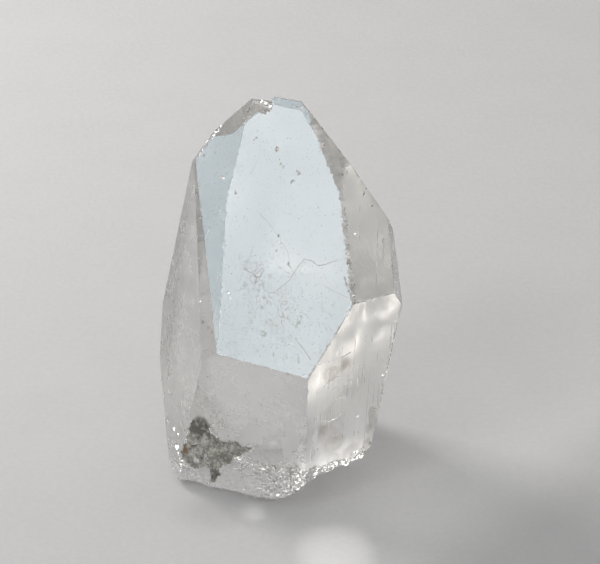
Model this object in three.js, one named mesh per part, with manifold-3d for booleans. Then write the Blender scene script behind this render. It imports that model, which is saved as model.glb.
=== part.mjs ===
// A single quartz crystal, point up, standing on its broken base, with a dark crust of rock left
// in a hollow low on its left front. Millimetres, +Z up, the viewer's front is -Y and right is +X.
import * as THREE from "three";
import { mergeVertices } from "three/addons/utils/BufferGeometryUtils.js";
import Module from "manifold-3d";

const wasm = await Module();
wasm.setup();

// Every flat face is given by the compass bearing of its normal (0 faces the front, + turns to the
// right), the normal's tilt above the level, and the face's distance from the heart of the crystal.
const heartHeight = 30;
const floorHeight = 0.4;
const blankSide = 160;
const facets = {
  frontPrism: [-24.5, -0.6, 18.2],
  rightPrism: [38.1, -1.9, 20.2],
  leftPrism: [-73.5, 9.2, 15.8],
  backPrism: [162, 6, 14],
  frontPoint: [-22.3, 35.7, 13.3],
  rightPoint: [41.5, 35.6, 21.2],
  leftPoint: [-45.3, 25.8, 15.4],
  brow: [18, 47.6, 21.6],
  shoulder: [75, 18, 22.4],
  rightSide: [96, 4.6, 19.6],
  rightUndercut: [96, -11.7, 17.9],
  backRightPoint: [116, 27, 21],
  backPoint: [157.6, 38.2, 27.4],
  backLeftPoint: [-144, 15.9, 26],
  backLeftSide: [-144, 11, 18.9],
  backLeftEdge: [-158, 5, 18.4],
  backLeftFlank: [-135, -10.8, 22.4],
  backLeftFoot: [-125, -35.7, 26],
  crownBevel: [-100, 35, 26.3],
};

// The broken base: flat land to stand on, with a ragged surface that climbs to the rim. The rim is
// low on the left and at the back, and high at the front right, between two bearings.
const baseReach = 25;
const baseStep = 1.25;
const rimWidth = 3.4;
const highRimWidth = 11.5;
const lowRim = 1.5;
const highRim = 6.6;
const highRimStart = [-97, -70];
const highRimEnd = [-28, 22];
const ledgeHeight = 0.6;
const strikePoint = [17, 6];
const ripplePitch = 3.4;
const rippleHeight = 0.3;

// A conchoidal break is a shallow bowl with ripples round the point where it was struck.
const bowlRings = 4;
const bowlSides = 18;
const bowlLobes = 0.09;
const bowlRipple = 0.09;

// The growth layer missing at the top left: its floor leans into the crystal from a level step, and
// its wall runs up the front point face between two places, given as left-right place and height.
const layerFloor = [-31.8, 54.9, 21.7];
const layerCorner = [-7.6, 58.4];
const layerTop = [-3.2, 62.2];

// The crust of rock: lumps that overlap, each sunk a little below the front prism face.
const crustGap = 0.35;
const lumpHalfThickness = 1.05;
const crustRoughness = 0.34;
const crustDetail = 3;
const hollowDetail = 2;

const quartzLook = new THREE.MeshStandardMaterial({ color: 0xd9e0e0, roughness: 0.05, metalness: 0 });
const rockLook = new THREE.MeshStandardMaterial({ color: 0x5f6158, roughness: 0.9, metalness: 0 });
quartzLook.transparent = true;
quartzLook.opacity = 0.35;

const heart = new THREE.Vector3(0, 0, heartHeight);
const up = new THREE.Vector3(0, 0, 1);
const { degToRad, radToDeg, smoothstep } = THREE.MathUtils;

// A repeatable stream of numbers from 0 to 1.
function makeRandom(seed) {
  const multiplier = 16807;
  const modulus = 2 ** 31 - 1;
  let state = seed;
  return () => {
    state = (state * multiplier) % modulus;
    return state / modulus;
  };
}

function solidOf(geometry) {
  const bare = geometry.clone();
  bare.deleteAttribute("normal");
  bare.deleteAttribute("uv");
  const merged = mergeVertices(bare, 1e-4);
  return new wasm.Manifold(
    new wasm.Mesh({
      numProp: 3,
      vertProperties: new Float32Array(merged.attributes.position.array),
      triVerts: new Uint32Array(merged.index.array),
    }),
  );
}

function geometryOf(solid) {
  const mesh = solid.getMesh();
  const geometry = new THREE.BufferGeometry();
  geometry.setAttribute("position", new THREE.BufferAttribute(mesh.vertProperties, 3));
  geometry.setIndex(new THREE.BufferAttribute(mesh.triVerts, 1));
  geometry.computeVertexNormals();
  return geometry;
}

function normalOf([bearing, tilt]) {
  const turn = degToRad(bearing);
  const rise = degToRad(tilt);
  return new THREE.Vector3(
    Math.sin(turn) * Math.cos(rise),
    -Math.cos(turn) * Math.cos(rise),
    Math.sin(rise),
  );
}

// Puts a geometry at a place so that its own +Z faces along a normal, its +X stays level and its
// +Y points up the slope, after a turn about the normal by a spin.
function place(geometry, centre, normal, spin = 0) {
  const level = new THREE.Vector3().crossVectors(up, normal).normalize();
  const slope = new THREE.Vector3().crossVectors(normal, level);
  geometry.rotateZ(spin);
  geometry.applyMatrix4(new THREE.Matrix4().makeBasis(level, slope, normal));
  geometry.translate(centre.x, centre.y, centre.z);
  return geometry;
}

// The point of a facet at a given left-right place and height.
function onFacet(facet, x, z) {
  const normal = normalOf(facet);
  const y = (facet[2] - normal.x * x - normal.z * (z - heartHeight)) / normal.y;
  return new THREE.Vector3(x, y, z);
}

// The block outside a facet, which trims the crystal to it.
function outsideOf(facet) {
  const normal = normalOf(facet);
  const block = new THREE.BoxGeometry(blankSide, blankSide, blankSide);
  const centre = heart.clone().addScaledVector(normal, facet[2] + blankSide / 2);
  return solidOf(place(block, centre, normal));
}

function facetedBody() {
  const blank = new THREE.BoxGeometry(blankSide / 2, blankSide / 2, blankSide);
  blank.translate(0, 0, heartHeight);
  return Object.values(facets).reduce((body, facet) => body.subtract(outsideOf(facet)), solidOf(blank));
}

// How far inside the crystal's outline a point of the base is.
function insetOf(x, y) {
  const point = new THREE.Vector3(x, y, floorHeight - heartHeight);
  return Math.min(...Object.values(facets).map((facet) => facet[2] - normalOf(facet).dot(point)));
}

// How much of the high rim there is in a direction from the middle, in degrees from +X.
function highShare(direction) {
  return smoothstep(direction, ...highRimStart) * (1 - smoothstep(direction, ...highRimEnd));
}

// Height of the broken base under a point: level land in the middle, ledges and ripples outside.
function baseHeight(x, y) {
  const angle = Math.atan2(y, x);
  const high = highShare(radToDeg(angle));
  const wander = 1.2 * Math.sin(3 * angle + 0.7) + 0.8 * Math.sin(8 * angle + 2.1);
  const width = rimWidth + (highRimWidth - rimWidth) * high + wander;
  const outward = Math.max(0, 1 - insetOf(x, y) / width);
  const climb = (lowRim + (highRim - lowRim) * high) * outward;
  const rough = Math.min(1, 2 * outward);
  const swell = 0.4 * rough * Math.sin(0.8 * x - 0.5 * y);
  const ledge = ledgeHeight * Math.round((climb + swell) / ledgeHeight);
  const strike = Math.hypot(x - strikePoint[0], y - strikePoint[1]);
  const ripple = rippleHeight * rough * Math.sin((2 * Math.PI * strike) / ripplePitch);
  return floorHeight + Math.max(0, 0.5 * (ledge + climb) + ripple);
}

// Everything below the broken base, as a closed block whose top is the base's surface.
function underBase() {
  const cells = Math.round((2 * baseReach) / baseStep);
  const block = new THREE.BoxGeometry(2 * baseReach, 2 * baseReach, 20, cells, cells, 1);
  const position = block.attributes.position;
  for (let i = 0; i < position.count; i++) {
    const top = position.getZ(i) > 0;
    position.setZ(i, top ? baseHeight(position.getX(i), position.getY(i)) : -blankSide / 2);
  }
  return solidOf(block);
}

// A rippled bowl to cut, with its rim plane at its own z = 0 and its belly below it.
function bowl(halfLength, halfWidth, depth) {
  const profile = [new THREE.Vector2(0, -depth)];
  for (let ring = 1; ring <= bowlRings; ring++) {
    const out = ring / bowlRings;
    const ripple = bowlRipple * depth * Math.sin(ring * 2.2);
    profile.push(new THREE.Vector2(out, -depth * Math.sqrt(1 - out * out) + ripple * (1 - out)));
  }
  profile.push(new THREE.Vector2(1.02, depth), new THREE.Vector2(0, depth));
  const shape = new THREE.LatheGeometry(profile, bowlSides);
  shape.rotateX(Math.PI / 2);
  const position = shape.attributes.position;
  for (let i = 0; i < position.count; i++) {
    const angle = Math.atan2(position.getY(i), position.getX(i));
    const lobes = 1 + bowlLobes * (Math.sin(3 * angle + halfLength) + 0.7 * Math.sin(5 * angle + halfWidth));
    position.setXY(i, position.getX(i) * lobes, position.getY(i) * lobes);
  }
  shape.scale(halfLength, halfWidth, 1);
  return shape;
}

// A bowl broken into a facet at a left-right place and height, turned about the facet's normal.
function bowlCut(facet, x, z, halfLength, halfWidth, depth, spin) {
  const centre = onFacet(facet, x, z);
  return solidOf(place(bowl(halfLength, halfWidth, depth), centre, normalOf(facet), spin));
}

// The breaks round the base.
function breaks() {
  const { frontPrism, rightPrism, leftPrism, backPrism, rightUndercut, backLeftFoot } = facets;
  return [
    bowlCut(frontPrism, -1.8, 5.8, 6.2, 3.1, 1.2, 0.05),
    bowlCut(frontPrism, 3.4, 6.6, 3.6, 2.7, 1, -0.15),
    bowlCut(rightPrism, 7.6, 6, 5, 3, 1.3, 0.05),
    bowlCut(rightPrism, 13, 6.2, 3.1, 2.3, 1, 0.3),
    bowlCut(rightPrism, 15.6, 12.5, 0.9, 4.6, 0.5, 0.12),
    bowlCut(leftPrism, -18.3, 2.6, 2.6, 1.7, 0.7, 0.3),
    bowlCut(frontPrism, -15.2, 2.2, 1.9, 1.5, 0.6, 0.3),
    bowlCut(rightUndercut, 14.6, 7, 5, 3, 1.1, 0.2),
    bowlCut(backLeftFoot, -13, 4, 4.2, 2.2, 0.8, 0),
    bowlCut(backPrism, 2, 5.2, 7.4, 3.6, 1.5, 0.1),
    bowlCut(backPrism, 10.5, 7.5, 3.8, 2.6, 1, -0.3),
  ];
}

// The block on the left of a step that runs up the front point face from one place to another.
function leftOfStep(from, to) {
  const corner = onFacet(facets.frontPoint, ...from);
  const along = onFacet(facets.frontPoint, ...to).sub(corner).normalize();
  const out = normalOf(facets.frontPoint);
  const left = new THREE.Vector3().crossVectors(out, along);
  const side = 30;
  const block = new THREE.BoxGeometry(side, 2 * side, side);
  block.translate(side / 2, 0, 0);
  block.applyMatrix4(new THREE.Matrix4().makeBasis(left, along.clone().negate(), out));
  block.translate(corner.x, corner.y, corner.z);
  return solidOf(block);
}

// The growth layer missing at the top left of the front point face: its floor leans into the
// crystal from a level step, and a wall bounds it on the right.
function missingLayer() {
  return outsideOf(layerFloor).intersect(leftOfStep(layerCorner, layerTop));
}

// The angular notch broken out of the top of the point.
function notch() {
  const pieces = [[-2.6, 62.6, 1, 0.4], [-1.9, 63.8, 0.8, 1.3], [-3.4, 63.6, 0.8, 2.2]];
  return pieces.map(([x, z, radius, turn]) => {
    const piece = new THREE.OctahedronGeometry(radius, 0);
    piece.scale(1.1, 1.3, 0.8);
    return solidOf(place(piece, onFacet(facets.frontPoint, x, z), normalOf(facets.frontPoint), turn));
  });
}

// Small chips along a line between two places: each is a little turned lump cut away, and most
// are near the smallest radius.
function chipsAlong(from, to, count, smallest, largest, random) {
  return Array.from({ length: count }, (_, i) => {
    const along = (i + 0.2 + 0.6 * random()) / count;
    const radius = smallest + (largest - smallest) * random() ** 2;
    const chip = new THREE.IcosahedronGeometry(radius, 0);
    chip.scale(0.6 + 0.8 * random(), 1, 0.7 + 1.1 * random());
    chip.rotateX(3 * random());
    chip.rotateZ(3 * random());
    const centre = from.clone().lerp(to, along);
    chip.translate(centre.x, centre.y, centre.z);
    return solidOf(chip);
  });
}

function edgeChips(random) {
  const front = (x, z) => onFacet(facets.frontPoint, x, z);
  const right = (x, z) => onFacet(facets.rightPrism, x, z);
  return [
    ...chipsAlong(front(12, 38.6), front(9.9, 51.6), 17, 0.25, 0.62, random),
    ...chipsAlong(front(9.9, 52), front(5, 62.4), 13, 0.25, 0.7, random),
    ...chipsAlong(front(4.2, 63.4), front(-2, 64), 6, 0.2, 0.5, random),
    ...chipsAlong(front(-8.7, 61), front(-14.2, 54.6), 6, 0.15, 0.4, random),
    ...chipsAlong(front(11, 36), front(5, 27.8), 5, 0.12, 0.28, random),
    ...chipsAlong(front(3.6, 27), front(-9, 27.6), 5, 0.12, 0.26, random),
    ...chipsAlong(right(20.3, 35), right(16.4, 18), 12, 0.3, 0.8, random),
    ...chipsAlong(right(16.2, 17), right(14.9, 8), 8, 0.4, 1, random),
  ];
}

// Three-sided growth pits on the front point face.
function growthPits(random) {
  const places = [
    [-0.7, 57], [0.2, 55], [2.9, 54.1], [1.9, 52.9], [-7.7, 49.9], [-4.2, 57.9], [-0.5, 45.1],
    [6.2, 50], [11.2, 41.6], [11.6, 40.4], [-4, 42.5], [1.2, 40.6], [-9.5, 53.3], [-1.5, 34],
  ];
  return places.map(([x, z]) => {
    const width = 0.4 + 0.35 * random();
    const pit = new THREE.ConeGeometry(width, 0.9 * width, 3);
    pit.rotateX(-Math.PI / 2);
    return solidOf(place(pit, onFacet(facets.frontPoint, x, z), normalOf(facets.frontPoint), 0.5));
  });
}

// Long shallow grooves between growth steps, nearly upright on the prism faces.
function grooves(facet, left, right, low, high, count, width, lean, random) {
  return Array.from({ length: count }, (_, i) => {
    const x = left + ((i + random()) / count) * (right - left);
    const length = (high - low) * (0.25 + 0.5 * random());
    const z = low + length / 2 + random() * (high - low - length);
    const groove = new THREE.CylinderGeometry(width, width, length, 4);
    groove.scale(1 + random(), 1, 0.5);
    return solidOf(place(groove, onFacet(facet, x, z), normalOf(facet), lean));
  });
}

// Short level ledges high on the right point face.
function ledges(random) {
  const places = [[13.9, 51], [15.4, 49.3], [12.3, 46.9], [17, 44.3], [14.6, 43]];
  return places.map(([x, z]) => {
    const ledge = new THREE.BoxGeometry(1.6 + 1.4 * random(), 0.3, 0.36);
    return solidOf(place(ledge, onFacet(facets.rightPoint, x, z), normalOf(facets.rightPoint), 0.05));
  });
}

// One lump of the crust: a flattened ball with a broken surface, in the front prism face. Grown by
// the gap, it is the lump's share of the hollow.
function lump(x, z, halfLength, halfWidth, sunk, grown, spin, seed) {
  const random = makeRandom(seed);
  const ball = new THREE.IcosahedronGeometry(1, grown > 0 ? hollowDetail : crustDetail);
  const waves = Array.from({ length: 5 }, () => [5 * random() - 2.5, 5 * random() - 2.5, 6 * random()]);
  const position = ball.attributes.position;
  for (let i = 0; i < position.count; i++) {
    const point = new THREE.Vector3().fromBufferAttribute(position, i);
    const bump = waves.reduce((sum, [a, b, c]) => sum + Math.sin(2 * (a * point.x + b * point.y) + c), 0);
    point.multiplyScalar(1 + (crustRoughness * bump) / waves.length);
    point.multiply(new THREE.Vector3(halfLength + grown, halfWidth + grown, lumpHalfThickness + grown));
    position.setXYZ(i, point.x, point.y, point.z);
  }
  const normal = normalOf(facets.frontPrism);
  const centre = onFacet(facets.frontPrism, x, z).addScaledVector(normal, -sunk);
  return solidOf(place(ball, centre, normal, spin));
}

function crust(grown) {
  const lumps = [
    lump(-13.8, 13.2, 2, 1.7, 0.75, grown, 0.3, 11),
    lump(-12.9, 10.5, 1.8, 2.1, 0.8, grown, -0.5, 23),
    lump(-10.4, 8.9, 2.8, 1.6, 0.75, grown, 0.1, 37),
    lump(-7.2, 9.9, 2.6, 0.9, 0.7, grown, 0.45, 41),
    lump(-14.4, 7.9, 2.2, 1.4, 0.8, grown, 0.6, 53),
    lump(-11.4, 6, 1.3, 2.5, 0.75, grown, -0.3, 67),
  ];
  return lumps.reduce((sum, one) => sum.add(one));
}

// The crumbs that a cut leaves loose fall away.
function largestPiece(solid) {
  return solid.decompose().reduce((best, one) => (one.volume() > best.volume() ? one : best));
}

function quartzBody() {
  const random = makeRandom(4127);
  const cuts = [
    underBase(),
    ...breaks(),
    missingLayer(),
    ...notch(),
    ...edgeChips(random),
    ...growthPits(random),
    ...grooves(facets.rightPrism, 6, 17, 11, 33, 10, 0.22, -0.06, random),
    ...grooves(facets.leftPrism, -20, -17, 8, 40, 6, 0.16, 0.02, random),
    ...grooves(facets.frontPrism, -3, 3, 10, 25, 3, 0.12, 0.06, random),
    ...ledges(random),
    crust(crustGap),
  ];
  return largestPiece(cuts.reduce((body, cut) => body.subtract(cut), facetedBody()));
}

function namedMesh(name, solid, look) {
  const mesh = new THREE.Mesh(geometryOf(solid), look);
  mesh.name = name;
  return mesh;
}

const crystal = namedMesh("crystal", quartzBody(), quartzLook);
const rockCrust = namedMesh("rock_crust", crust(0), rockLook);

// The part stands on the level with its origin under the middle of the crystal.
crystal.geometry.computeBoundingBox();
const bounds = crystal.geometry.boundingBox;
const specimen = new THREE.Group();
specimen.add(crystal, rockCrust);
specimen.position.set(-(bounds.min.x + bounds.max.x) / 2, -(bounds.min.y + bounds.max.y) / 2, -floorHeight);

const part = new THREE.Group();
part.add(specimen);

export default part;
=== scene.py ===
import math
import random

import bpy
from mathutils import Matrix, Vector, noise


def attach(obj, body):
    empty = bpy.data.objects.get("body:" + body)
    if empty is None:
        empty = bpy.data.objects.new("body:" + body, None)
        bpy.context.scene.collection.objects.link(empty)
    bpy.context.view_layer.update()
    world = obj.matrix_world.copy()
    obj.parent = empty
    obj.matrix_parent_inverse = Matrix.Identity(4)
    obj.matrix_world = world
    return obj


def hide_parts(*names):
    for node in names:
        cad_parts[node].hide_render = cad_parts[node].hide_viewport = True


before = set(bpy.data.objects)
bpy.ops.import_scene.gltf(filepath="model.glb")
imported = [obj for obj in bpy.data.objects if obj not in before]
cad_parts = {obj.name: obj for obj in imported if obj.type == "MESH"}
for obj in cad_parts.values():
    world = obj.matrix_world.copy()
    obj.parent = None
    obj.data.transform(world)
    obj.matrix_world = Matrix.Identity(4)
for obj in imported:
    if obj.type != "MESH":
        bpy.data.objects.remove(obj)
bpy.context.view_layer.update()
mm = 0.001
up = Vector((0, 0, 1))
axisShift = Vector((0.462, 1.348, -0.4))  # from the crystal's own axis to the middle of its box
print("stage: frame loaded")


def deselectAll():
    if bpy.context.object and bpy.context.object.mode != "OBJECT":
        bpy.ops.object.mode_set(mode="OBJECT")
    bpy.ops.object.select_all(action="DESELECT")


def pick(piece):
    deselectAll()
    piece.select_set(True)
    bpy.context.view_layer.objects.active = piece


def named(name):
    piece = bpy.context.object
    piece.name = name
    piece.data.name = name
    return piece


def settle(piece):  # puts the piece's place, turn and size into its mesh
    pick(piece)
    bpy.ops.object.transform_apply(location=True, rotation=True, scale=True)


def applyModifier(piece, name, kind, **values):
    pick(piece)
    modifier = piece.modifiers.new(name, kind)
    for key, value in values.items():
        setattr(modifier, key, value)
    bpy.ops.object.modifier_apply(modifier=name)


def moveVertices(piece, rule):  # every vertex goes where the rule puts it
    for vertex in piece.data.vertices:
        vertex.co = rule(vertex.co)
    piece.data.update()


def copyOf(piece, name, matrix):
    twin = piece.copy()
    twin.data = piece.data.copy()
    twin.name = name
    twin.data.name = name
    twin.matrix_world = Matrix.Identity(4)
    twin.data.transform(matrix)
    bpy.context.scene.collection.objects.link(twin)
    return twin


def discard(pieces):
    for piece in pieces:
        mesh = piece.data
        bpy.data.objects.remove(piece)
        bpy.data.meshes.remove(mesh)


def strew(pattern, label, places):  # a copy of the pattern at each place, and then the pattern goes
    copies = [copyOf(pattern, f"{label}_{index}", place) for index, place in enumerate(places)]
    discard([pattern])
    return copies


def strayed(start, end, share, stray, rng):  # a place part of the way along a line, a little off it
    return [a + (b - a) * share + rng.gauss(0, stray) for a, b in zip(start, end)]


def cutAway(piece, cutters, label):
    group = bpy.data.collections.new(label)
    bpy.context.scene.collection.children.link(group)
    for cutter in cutters:
        group.objects.link(cutter)
    applyModifier(piece, label, "BOOLEAN", operation="DIFFERENCE", operand_type="COLLECTION",
                  collection=group, solver="MANIFOLD")
    discard(cutters)
    bpy.data.collections.remove(group)
    print("stage:", label, "cut,", len(piece.data.polygons), "faces")


def keepLargest(piece):  # the crumbs that a cut leaves loose fall away
    pick(piece)
    bpy.ops.object.mode_set(mode="EDIT")
    bpy.ops.mesh.select_all(action="SELECT")
    bpy.ops.mesh.separate(type="LOOSE")
    bpy.ops.object.mode_set(mode="OBJECT")
    parts = sorted(bpy.context.selected_objects, key=lambda part: len(part.data.vertices))
    largest = parts.pop()
    discard(parts)
    return largest


crystalForm = {
    "heart": (0, 0, 30),
    "edgeBevel": 0.07,
    "facets": {  # bearing of the normal (0 is the front, + to the right), its tilt, distance from the heart
        "frontPrism": (-24.5, -0.6, 18.2),
        "rightPrism": (38.1, -1.9, 20.2),
        "leftPrism": (-73.5, 9.2, 15.8),
        "backPrism": (162, 6, 14),
        "frontPoint": (-22.3, 35.7, 13.3),
        "rightPoint": (41.5, 35.6, 21.2),
        "leftPoint": (-45.3, 25.8, 15.4),
        "brow": (18, 47.6, 21.6),
        "shoulder": (75, 18, 22.4),
        "rightSide": (96, 4.6, 19.6),
        "rightUndercut": (96, -11.7, 17.9),
        "backRightPoint": (116, 27, 21),
        "backPoint": (157.6, 38.2, 27.4),
        "backLeftPoint": (-144, 15.9, 26),
        "backLeftSide": (-144, 11, 18.9),
        "backLeftEdge": (-158, 5, 18.4),
        "backLeftFlank": (-135, -10.8, 22.4),
        "backLeftFoot": (-125, -35.7, 26),
        "crownBevel": (-100, 35, 26.3),
    },
}
facets = crystalForm["facets"]
heart = (Vector(crystalForm["heart"]) + axisShift) * mm


def normalOf(facet):
    turn, rise = math.radians(facet[0]), math.radians(facet[1])
    return Vector((math.sin(turn) * math.cos(rise), -math.cos(turn) * math.cos(rise), math.sin(rise)))


def onFacet(facet, x, z):  # a facet's point at a left-right place and a height, from the crystal's own axis
    normal = normalOf(facet)
    y = (facet[2] - normal.x * x - normal.z * (z - crystalForm["heart"][2])) / normal.y
    return (Vector((x, y, z)) + axisShift) * mm


def standOn(centre, normal, spin=0.0):  # own +Z along the normal, +X level, +Y up the slope
    level = up.cross(normal).normalized()
    slope = normal.cross(level)
    turned = Matrix((level, slope, normal)).transposed().to_4x4()
    return Matrix.Translation(centre) @ turned @ Matrix.Rotation(spin, 4, "Z")


def bisectAt(point, normal, keepOuter=False):
    bpy.ops.mesh.select_all(action="SELECT")
    bpy.ops.mesh.bisect(plane_co=point, plane_no=normal, use_fill=True,
                        clear_outer=not keepOuter, clear_inner=keepOuter)


def makeBlank():
    deselectAll()
    bpy.ops.mesh.primitive_cube_add(size=160 * mm, location=heart)
    blank = named("clear_crystal")
    settle(blank)
    bpy.ops.object.mode_set(mode="EDIT")
    for facet in facets.values():
        bisectAt(heart + normalOf(facet) * facet[2] * mm, normalOf(facet))
    bpy.ops.mesh.select_all(action="SELECT")
    bpy.ops.mesh.bevel(offset=crystalForm["edgeBevel"] * mm, segments=2, affect="EDGES")
    bpy.ops.object.mode_set(mode="OBJECT")
    return blank


camera = {
    "rise": 27,
    "lens": 212,
    "sensor": 36,
    "nearest": 0.01,  # how close to the lens it sees (m)
    "castFrom": 0.2,  # how far before the target the sight lines start (m)
    "distance": 600,
    "target": (3.2, 0, 33.6),
}


baseBreak = {
    "floorHeight": 0.4,
    "reach": 25,
    "cells": 190,
    "rimWidth": 3.4,
    "highRimWidth": 11.5,
    "lowRim": 1.5,
    "highRim": 6.6,
    "highRimStart": (-97, -70),
    "highRimEnd": (-28, 22),
    "ledgeHeight": 0.6,
    "strikePoint": (17, 6),
    "ripplePitch": 2.8,
    "rippleHeight": 0.24,
    "splinterSize": 1.1,
    "splinterHeight": 0.4,
    "fineHeight": 0.06,
    "depth": 40,
    "smoothStart": (-168, -140),
    "smoothEnd": (-97, -75),
    "smoothShare": 0.75,
}


def smoothStep(value, low, high):
    share = min(1, max(0, (value - low) / (high - low)))
    return share * share * (3 - 2 * share)


def between(value, start, end):  # 1 inside a stretch that starts and ends softly
    return smoothStep(value, *start) * (1 - smoothStep(value, *end))


baseWalls = [(normalOf(facet), facet[2]) for facet in facets.values()]


def insetOf(x, y):  # how far inside the outline a point of the base is
    point = Vector((x, y, baseBreak["floorHeight"] - crystalForm["heart"][2]))
    return min(distance - normal.dot(point) for normal, distance in baseWalls)


def baseHeight(x, y):
    angle = math.atan2(y, x)
    bearing = math.degrees(angle)
    high = between(bearing, baseBreak["highRimStart"], baseBreak["highRimEnd"])
    wander = 1.2 * math.sin(3 * angle + 0.7) + 0.8 * math.sin(8 * angle + 2.1)
    width = baseBreak["rimWidth"] + (baseBreak["highRimWidth"] - baseBreak["rimWidth"]) * high + wander
    outward = max(0, 1 - insetOf(x, y) / width)
    climb = (baseBreak["lowRim"] + (baseBreak["highRim"] - baseBreak["lowRim"]) * high) * outward
    smooth = between(bearing, baseBreak["smoothStart"], baseBreak["smoothEnd"])
    rough = min(1, 2 * outward) * (1 - baseBreak["smoothShare"] * smooth)
    swell = 0.4 * rough * math.sin(0.8 * x - 0.5 * y)
    ledge = baseBreak["ledgeHeight"] * round((climb + swell) / baseBreak["ledgeHeight"])
    strike = math.hypot(x - baseBreak["strikePoint"][0], y - baseBreak["strikePoint"][1])
    ripple = baseBreak["rippleHeight"] * rough * math.sin(2 * math.pi * strike / baseBreak["ripplePitch"])
    place = Vector((x, y, 0)) / baseBreak["splinterSize"]
    splinter = abs(noise.noise(place)) + 0.5 * abs(noise.noise(place * 2.3 + up * 4)) - 0.2
    fine = baseBreak["fineHeight"] * noise.noise(place * 3)
    relief = 0.5 * (ledge + climb) + ripple + rough * (baseBreak["splinterHeight"] * splinter + fine)
    return baseBreak["floorHeight"] + max(0, relief)


def makeUnderBase():
    reach, depth = baseBreak["reach"], baseBreak["depth"]
    deselectAll()
    bpy.ops.mesh.primitive_grid_add(x_subdivisions=baseBreak["cells"], y_subdivisions=baseBreak["cells"],
                                    size=2 * reach * mm)
    block = named("under_base")
    bpy.ops.object.mode_set(mode="EDIT")
    bpy.ops.mesh.select_all(action="SELECT")
    bpy.ops.mesh.extrude_region_move(TRANSFORM_OT_translate={"value": (0, 0, -depth * mm)})
    bpy.ops.mesh.select_all(action="SELECT")
    bpy.ops.mesh.normals_make_consistent(inside=False)
    bpy.ops.object.mode_set(mode="OBJECT")

    def shape(co):
        x, y = co.x / mm, co.y / mm
        if co.z < -1 * mm:
            return Vector((x + axisShift.x, y + axisShift.y, -depth)) * mm
        return Vector((x + axisShift.x, y + axisShift.y, baseHeight(x, y) + axisShift.z)) * mm

    moveVertices(block, shape)
    return block


breakMarks = {
    "bowls": [  # facet, left-right place, height, half length, half width, depth, spin
        ("frontPrism", -1.8, 5.8, 6.2, 3.1, 1.2, 0.05),
        ("frontPrism", 3.4, 6.6, 3.6, 2.7, 1.0, -0.15),
        ("rightPrism", 7.6, 6.0, 5.0, 3.0, 1.3, 0.05),
        ("rightPrism", 13.0, 6.2, 3.1, 2.3, 1.0, 0.3),
        ("rightPrism", 15.6, 12.5, 0.9, 4.6, 0.5, 0.12),
        ("leftPrism", -18.3, 2.6, 2.6, 1.7, 0.7, 0.3),
        ("frontPrism", -15.2, 2.2, 1.9, 1.5, 0.6, 0.3),
        ("rightUndercut", 14.6, 7.0, 5.0, 3.0, 1.1, 0.2),
        ("backLeftFoot", -13.0, 4.0, 4.2, 2.2, 0.8, 0.0),
        ("backPrism", 2.0, 3.4, 5.4, 1.8, 1.0, 0.1),
        ("backPrism", 10.0, 3.8, 2.8, 1.7, 0.8, -0.3),
    ],
    "rippleCount": 5,
    "rippleDepth": 0.07,
}


def makeBowl():  # a ball with ripples that spread from one side, as in a shell-like break
    deselectAll()
    bpy.ops.mesh.primitive_uv_sphere_add(segments=56, ring_count=44, radius=1)
    bowl = named("bowl_break")
    strike = Vector((-0.9, 0.35, 0))

    def shape(co):
        angle = math.atan2(co.y, co.x)
        lobes = 1 + 0.07 * math.sin(3 * angle + 1) + 0.05 * math.sin(5 * angle + 2)
        lobes += 0.03 * math.sin(11 * angle)
        reach = (Vector((co.x, co.y, 0)) - strike).length
        ripple = breakMarks["rippleDepth"] * math.sin(breakMarks["rippleCount"] * math.pi * reach ** 1.3)
        chip = 0.05 * abs(noise.noise(co * 3.1))
        return Vector((co.x * lobes, co.y * lobes, co.z * (1 + ripple + chip)))

    moveVertices(bowl, shape)
    return bowl


def bowlCutters():
    pattern = makeBowl()
    places = []
    for name, x, z, halfLength, halfWidth, depth, spin in breakMarks["bowls"]:
        size = Matrix.Diagonal((halfLength * mm, halfWidth * mm, depth * mm, 1))
        places.append(standOn(onFacet(facets[name], x, z), normalOf(facets[name]), spin) @ size)
    return strew(pattern, "bowl", places)


missingLayer = {
    "floor": (-31.8, 54.9, 21.7),
    "corner": (-7.6, 58.4),
    "top": (-3.2, 62.2),
    "side": 40,
}


def makeMissingLayer():
    corner = onFacet(facets["frontPoint"], *missingLayer["corner"])
    along = (onFacet(facets["frontPoint"], *missingLayer["top"]) - corner).normalized()
    wall = normalOf(facets["frontPoint"]).cross(along)
    floorNormal = normalOf(missingLayer["floor"])
    deselectAll()
    bpy.ops.mesh.primitive_cube_add(size=missingLayer["side"] * mm, location=corner)
    block = named("missing_layer")
    settle(block)
    bpy.ops.object.mode_set(mode="EDIT")
    bisectAt(heart + floorNormal * missingLayer["floor"][2] * mm, floorNormal, keepOuter=True)
    bisectAt(corner, wall, keepOuter=True)
    bpy.ops.object.mode_set(mode="OBJECT")
    return block


def edgePoint(first, second, axis, value):  # where the edge of two facets passes a given x, y or z
    level = Vector([float(axis == name) for name in "xyz"])
    normals = Matrix((normalOf(facets[first]), normalOf(facets[second]), level))
    offset = value - crystalForm["heart"][2] * (axis == "z")
    distances = Vector((facets[first][2], facets[second][2], offset))
    return heart + normals.inverted() @ distances * mm


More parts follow.
